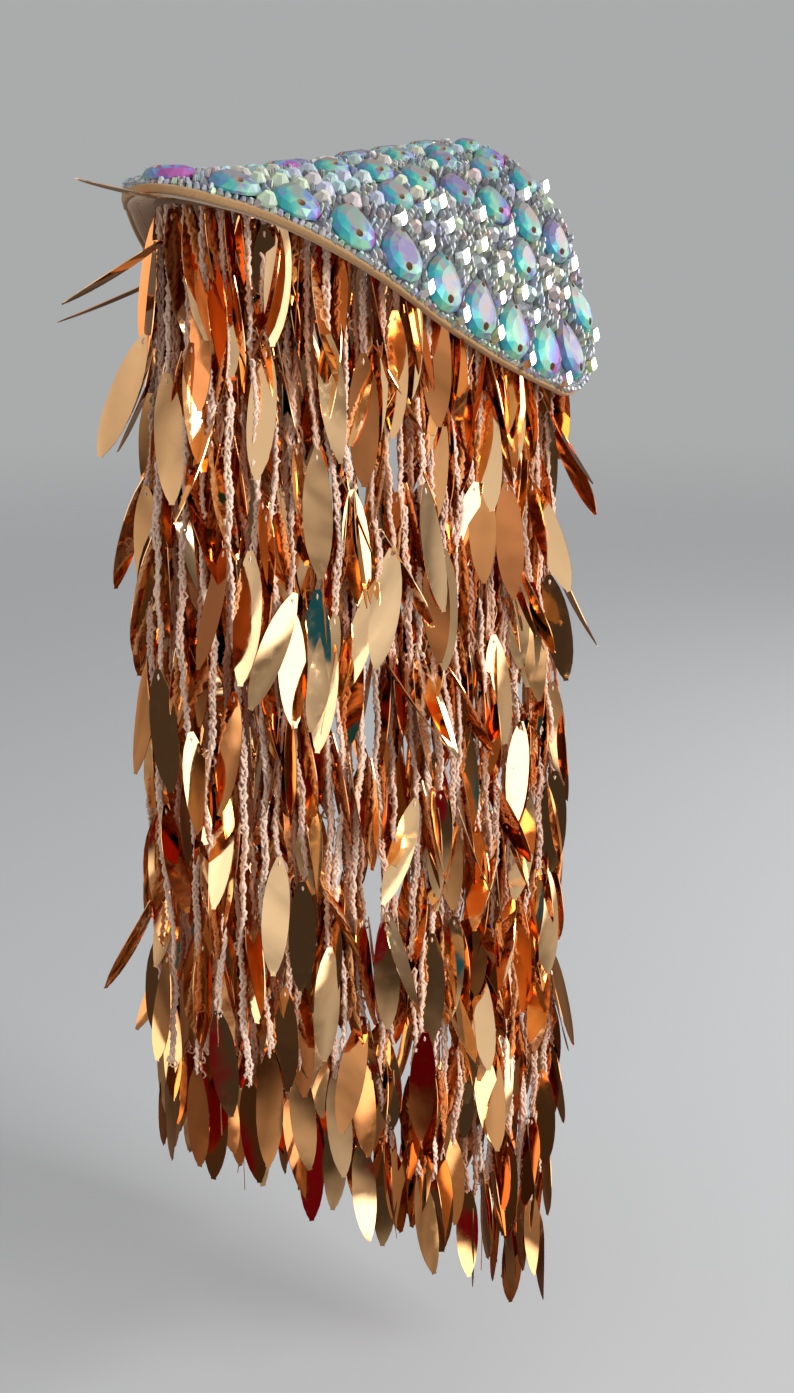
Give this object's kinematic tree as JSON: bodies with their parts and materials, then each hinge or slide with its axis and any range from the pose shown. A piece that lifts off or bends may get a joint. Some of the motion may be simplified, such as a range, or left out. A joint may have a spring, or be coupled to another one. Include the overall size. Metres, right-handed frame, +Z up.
{
  "type": "shoulder epaulette",
  "caption": "Shoulder epaulette: a rounded triangular cap bent over the shoulder, covered with cut crystals, with a long fringe of yarn and leaf sequins along its outer edges.",
  "frame": {"origin": "middle of the flat underside of the fastening pad, where the epaulette sits on the top of the shoulder", "axes": "+X along the shoulder ridge towards the neck, -Y to the front of the wearer, +Z up"},
  "size_m": [0.2124, 0.1583, 0.5367],
  "materials": {
    "felt": "stiff felt with a bare cut edge",
    "satin": "smooth satin lining",
    "crystal": "small foiled crystals with a pale rainbow coating",
    "stone": "faceted drop stones with a blue, green and violet rainbow coating",
    "pad": "woven fastening pad",
    "sequin": "mirror gold film",
    "yarn": "looped champagne yarn"
  },
  "bodies": {
    "root": {"cap_base": "felt", "cap_lining": "satin", "crystal_field": "crystal", "hook_pad": "pad", "rim_stone_tip": "stone", "rim_stone_front_1": "stone", "rim_stone_front_2": "stone", "rim_stone_front_3": "stone", "rim_stone_front_4": "stone", "rim_stone_front_5": "stone", "rim_stone_front_6": "stone", "rim_stone_front_7": "stone", "rim_stone_front_8": "stone", "rim_stone_back_1": "stone", "rim_stone_back_2": "stone", "rim_stone_back_3": "stone", "rim_stone_back_4": "stone", "rim_stone_back_5": "stone", "rim_stone_back_6": "stone", "rim_stone_back_7": "stone", "rim_stone_back_8": "stone", "corner_stone_front_1": "stone", "corner_stone_front_2": "stone", "corner_stone_back_1": "stone", "corner_stone_back_2": "stone", "middle_stone_front_2": "stone", "middle_stone_front_4": "stone", "middle_stone_back_2": "stone", "middle_stone_back_4": "stone", "upper_stone_ridge": "stone", "upper_stone_front_1": "stone", "upper_stone_front_2": "stone", "upper_stone_front_3": "stone", "upper_stone_front_4": "stone", "upper_stone_front_5": "stone", "upper_stone_front_6": "stone", "upper_stone_front_7": "stone", "upper_stone_back_1": "stone", "upper_stone_back_2": "stone", "upper_stone_back_3": "stone", "upper_stone_back_4": "stone", "upper_stone_back_5": "stone", "upper_stone_back_6": "stone", "upper_stone_back_7": "stone", "fringe_front_1": "sequin", "fringe_front_2": "sequin", "fringe_front_3": "sequin", "fringe_front_4": "sequin", "fringe_front_5": "sequin", "fringe_front_6": "sequin", "fringe_back_1": "sequin", "fringe_back_2": "sequin", "fringe_back_3": "sequin", "fringe_back_4": "sequin", "fringe_back_5": "sequin", "fringe_back_6": "sequin"}
  },
  "joints": []
}
